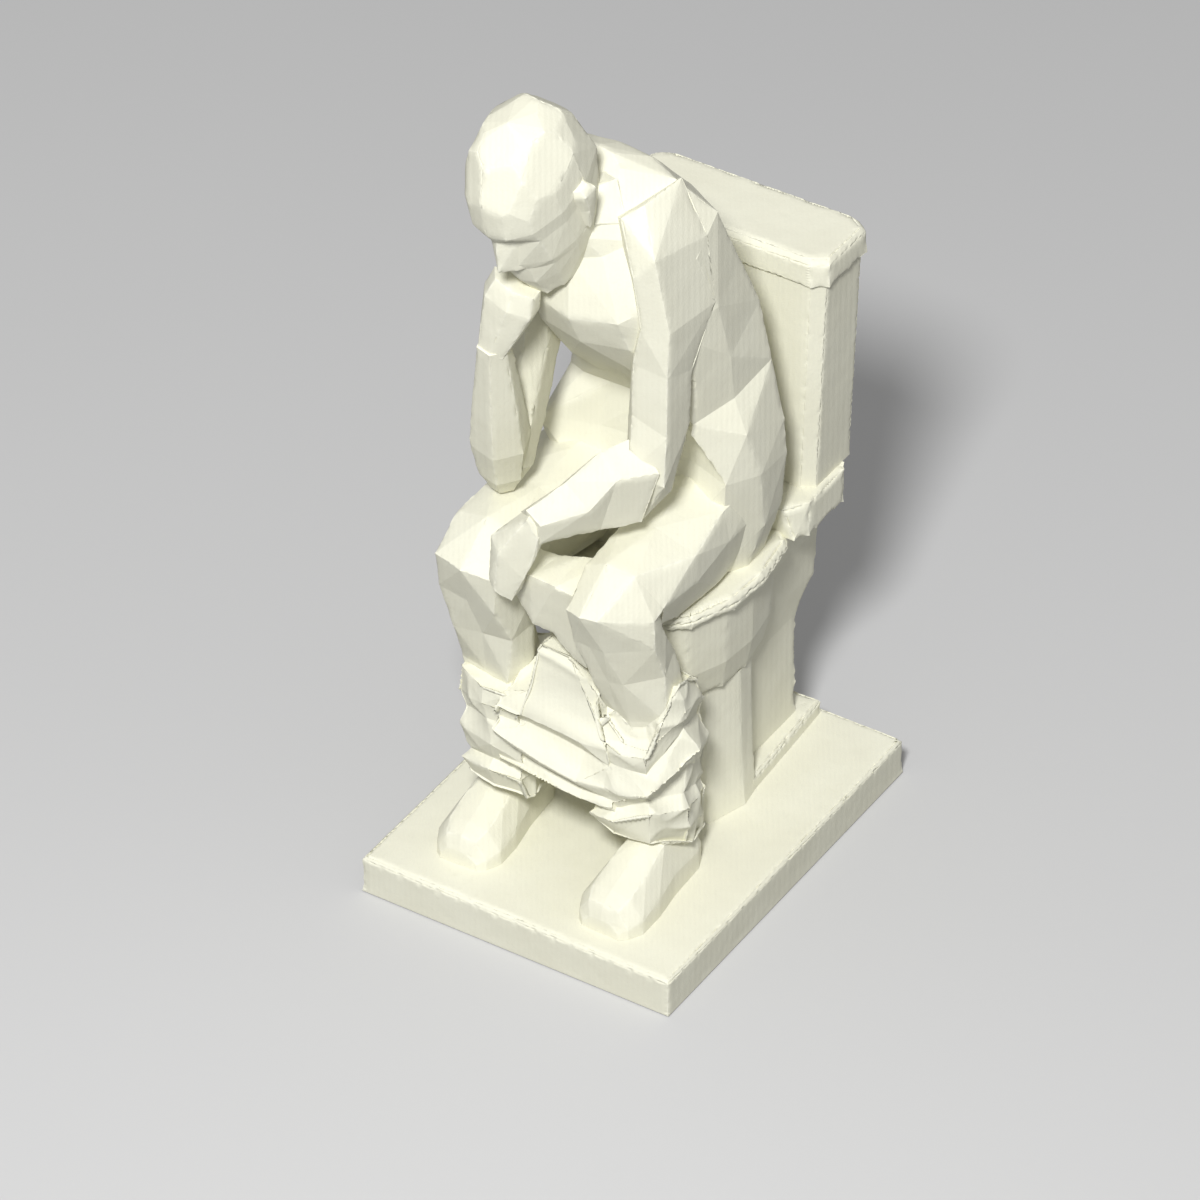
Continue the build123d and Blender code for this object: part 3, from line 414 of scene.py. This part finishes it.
def dowel_finish():
    """Plain wood with its fibres along the height."""
    finish, tree, shader, coords = new_finish("dowel_wood")
    stretch = node_of(tree, "ShaderNodeMapping")
    stretch.inputs["Scale"].default_value = (1.0, 1.0, 0.12)
    tree.links.new(coords, stretch.inputs["Vector"])
    fibre = noise_of(tree, stretch.outputs["Vector"], 0.0006, 5, 0.6)
    tone = blend_colour(tree, span(tree, fibre, 0.35, 0.65, 0.0, 1.0), WOOD_LIGHT, WOOD_DARK)
    tree.links.new(tone, shader.inputs["Base Color"])
    tree.links.new(span(tree, fibre, 0.3, 0.7, 0.55, 0.75), shader.inputs["Roughness"])
    roughen(tree, shader, fibre, 0.3, 0.0001)
    return finish


def floor_finish():
    """Pale floor where it is seen or mirrored, dimmer in the light that it throws back."""
    finish, tree, shader, coords = new_finish("pale_floor")
    cloud = noise_of(tree, coords, 0.25, 2, 0.5)
    ray = node_of(tree, "ShaderNodeLightPath").outputs
    mirrored = maths(tree, "MAXIMUM", ray["Is Glossy Ray"], ray["Is Transmission Ray"])
    seen = maths(tree, "MAXIMUM", ray["Is Camera Ray"], mirrored)
    tone = blend_colour(tree, cloud, FLOOR_DEEP, FLOOR_LIGHT)
    tone = blend_colour(tree, seen, FLOOR_BOUNCE, tone)
    tree.links.new(tone, shader.inputs["Base Color"])
    shader.inputs["Roughness"].default_value = 0.9
    return finish


# Castings, each a worn copy in place of its solid
ivory = ivory_finish()
for node in CASTINGS:
    casting = copy_casting(node)
    mark_edges(casting, node)
    refine(casting, FINE_STEP if node in CLOTH else MESH_STEP)
    wear_edges(casting, node)
    casting.data.materials.append(ivory)
    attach(casting, "root")
    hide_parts(node)

bpy.data.objects.remove(fold_guide)

# Dowel pins, hidden inside the castings
dowel = dowel_finish()
for node in PINS:
    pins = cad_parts[node]
    pins.data.materials.clear()
    pins.data.materials.append(dowel)

# Floor
bpy.ops.object.select_all(action="DESELECT")
bpy.ops.mesh.primitive_plane_add(size=FLOOR_SIZE, location=(0.0, 0.0, -FLOOR_DROP))
floor = bpy.context.active_object
floor.name = "floor"
floor.data.materials.append(floor_finish())

# Light
bpy.ops.object.light_add(type="AREA", location=KEY_PLACE)
key = bpy.context.active_object
key.name = "key_softbox"
key.data.shape = "DISK"
key.data.size = KEY_SIZE
key.data.energy = KEY_WATTS
aim = Vector(KEY_AIM) - Vector(KEY_PLACE)
key.rotation_euler = aim.to_track_quat("-Z", "Y").to_euler()

world = bpy.data.worlds.new("studio")
world.use_nodes = True
sky = world.node_tree.nodes["Background"]
sky.inputs["Color"].default_value = (1.0, 1.0, 1.0, 1.0)
sky.inputs["Strength"].default_value = SKY_STRENGTH
bpy.context.scene.world = world

# Camera
ground_reach = cos(VIEW_HEIGHT)
back = Vector((sin(VIEW_AZIMUTH) * ground_reach, -cos(VIEW_AZIMUTH) * ground_reach, sin(VIEW_HEIGHT)))
level_right = Vector((cos(VIEW_AZIMUTH), sin(VIEW_AZIMUTH), 0.0))
level_up = back.cross(level_right)
right = level_right * cos(VIEW_ROLL) + level_up * sin(VIEW_ROLL)
up = level_up * cos(VIEW_ROLL) - level_right * sin(VIEW_ROLL)
bpy.ops.object.camera_add()
camera = bpy.context.active_object
camera.data.lens = VIEW_LENS
camera.data.sensor_width = SENSOR_WIDTH
camera.data.clip_end = VIEW_REACH
turned = Matrix((right, up, back)).transposed().to_4x4()
camera.matrix_world = Matrix.Translation(VIEW_TARGET + back * VIEW_DISTANCE) @ turned
bpy.context.scene.camera = camera
bpy.context.scene.view_settings.view_transform = "Standard"
